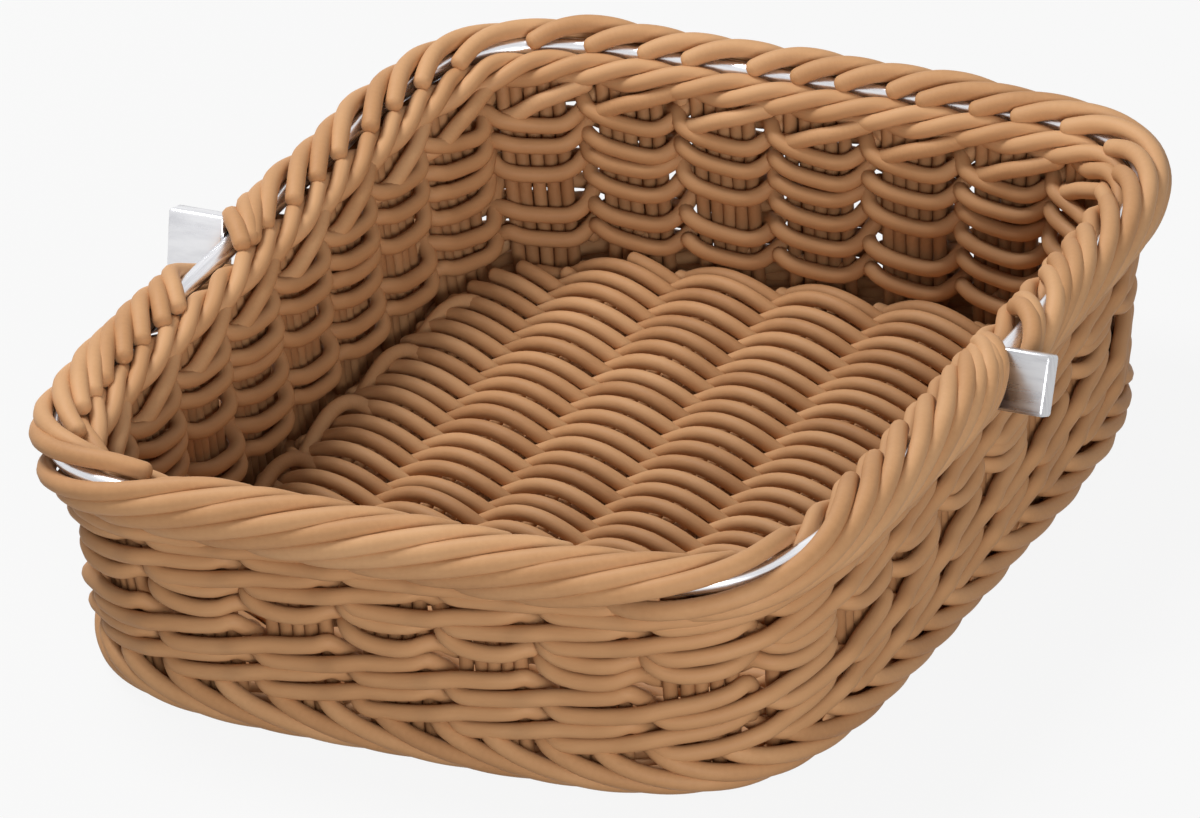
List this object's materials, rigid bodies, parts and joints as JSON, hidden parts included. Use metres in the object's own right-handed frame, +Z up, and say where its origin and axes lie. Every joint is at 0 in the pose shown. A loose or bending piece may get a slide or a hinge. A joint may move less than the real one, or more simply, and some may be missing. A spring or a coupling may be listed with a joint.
{
  "type": "display basket",
  "caption": "Shallow rectangular display basket woven from round plastic cord, with a metal wire in its wrapped rim and a flat metal lug at each side.",
  "frame": {"origin": "on the ground under the centre of the basket", "axes": "+Z up, +X to the right with the lugs on the X sides, +Y towards the back along the longer side"},
  "size_m": [0.2896, 0.3206, 0.0825],
  "materials": {
    "woven_cord": "matte caramel plastic cord",
    "stake_cord": "matte caramel plastic cord, seen in shade",
    "bright_metal": "bright satin steel"
  },
  "bodies": {
    "root": {"rim_wire": "bright_metal", "right_lug": "bright_metal", "left_lug": "bright_metal", "rim_wrap_back": "woven_cord", "rim_wrap_front": "woven_cord", "rim_inner_roll": "woven_cord", "foot_border": "woven_cord", "stake_bundle_01": "stake_cord", "stake_bundle_02": "stake_cord", "stake_bundle_03": "stake_cord", "stake_bundle_04": "stake_cord", "stake_bundle_05": "stake_cord", "stake_bundle_06": "stake_cord", "stake_bundle_07": "stake_cord", "stake_bundle_08": "stake_cord", "stake_bundle_09": "stake_cord", "stake_bundle_10": "stake_cord", "stake_bundle_11": "stake_cord", "stake_bundle_12": "stake_cord", "stake_bundle_13": "stake_cord", "stake_bundle_14": "stake_cord", "stake_bundle_15": "stake_cord", "stake_bundle_16": "stake_cord", "stake_bundle_17": "stake_cord", "stake_bundle_18": "stake_cord", "stake_bundle_19": "stake_cord", "stake_bundle_20": "stake_cord", "stake_bundle_21": "stake_cord", "stake_bundle_22": "stake_cord", "stake_bundle_23": "stake_cord", "stake_bundle_24": "stake_cord", "stake_bundle_25": "stake_cord", "stake_bundle_26": "stake_cord", "stake_bundle_27": "stake_cord", "stake_bundle_28": "stake_cord", "stake_bundle_29": "stake_cord", "stake_bundle_30": "stake_cord", "slant_row_1_a": "woven_cord", "slant_row_1_b": "woven_cord", "slant_row_1_c": "woven_cord", "slant_row_2_a": "woven_cord", "slant_row_2_b": "woven_cord", "slant_row_2_c": "woven_cord", "slant_row_3_a": "woven_cord", "slant_row_3_b": "woven_cord", "slant_row_3_c": "woven_cord", "slant_row_4_a": "woven_cord", "slant_row_4_b": "woven_cord", "slant_row_4_c": "woven_cord", "plain_row_1": "woven_cord", "plain_row_2": "woven_cord", "plain_row_3": "woven_cord", "base_stakes_1": "stake_cord", "base_stakes_2": "stake_cord", "base_stakes_3": "stake_cord", "base_stakes_4": "stake_cord", "base_stakes_5": "stake_cord", "base_stakes_6": "stake_cord", "floor_weave": "woven_cord"}
  },
  "joints": []
}
